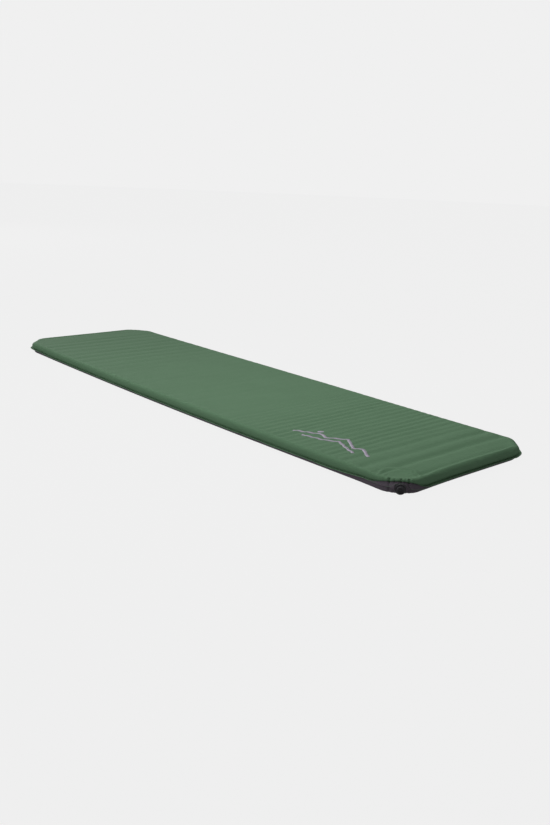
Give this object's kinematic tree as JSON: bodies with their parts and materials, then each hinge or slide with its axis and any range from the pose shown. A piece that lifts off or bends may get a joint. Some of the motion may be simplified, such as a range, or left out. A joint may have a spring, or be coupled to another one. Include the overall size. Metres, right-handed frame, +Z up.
{
  "type": "self-inflating sleeping pad",
  "caption": "Self-inflating camping mat: foam core cored with cross channels in a welded airtight fabric envelope, with a twist valve at one corner that unscrews on its thread.",
  "frame": {"origin": "middle of the mat's footprint, on the ground", "axes": "+X along the mat towards the valve end, +Y across it, +Z up; the valve is at the +X -Y corner and looks out along the diagonal"},
  "size_m": [1.83, 0.51, 0.038],
  "materials": {
    "green_fabric": "matte",
    "charcoal_fabric": "matte",
    "air_film": "satin",
    "foam": "matte",
    "weld": "satin",
    "valve_plastic": "satin",
    "cap_plastic": "satin",
    "guard_plastic": "satin",
    "seal_rubber": "matte"
  },
  "bodies": {
    "mat": {"top_fabric": "green_fabric", "top_air_film": "air_film", "foam_core": "foam", "bottom_air_film": "air_film", "bottom_fabric": "charcoal_fabric", "seam_weld": "weld", "valve_base": "valve_plastic", "foam_guard": "guard_plastic", "plug_spider": "guard_plastic", "plug_seal": "seal_rubber"},
    "seal_carrier": {"cap_seal": "seal_rubber"},
    "cap": {"twist_cap": "cap_plastic"}
  },
  "joints": [
    {"name": "cap_slide", "type": "slide", "parent": "mat", "child": "seal_carrier", "axis": [0.7071, -0.7071, 0], "range_m": [0, 0.004]},
    {"name": "cap_twist", "type": "hinge", "parent": "seal_carrier", "child": "cap", "pos_m": [0.89, -0.23, 0.019], "axis": [0.7071, -0.7071, 0], "range_deg": [0, 361]}
  ],
  "couplings": [
    {"joint": "cap_twist", "follows": "cap_slide", "rad_per_m": 1570.8}
  ]
}
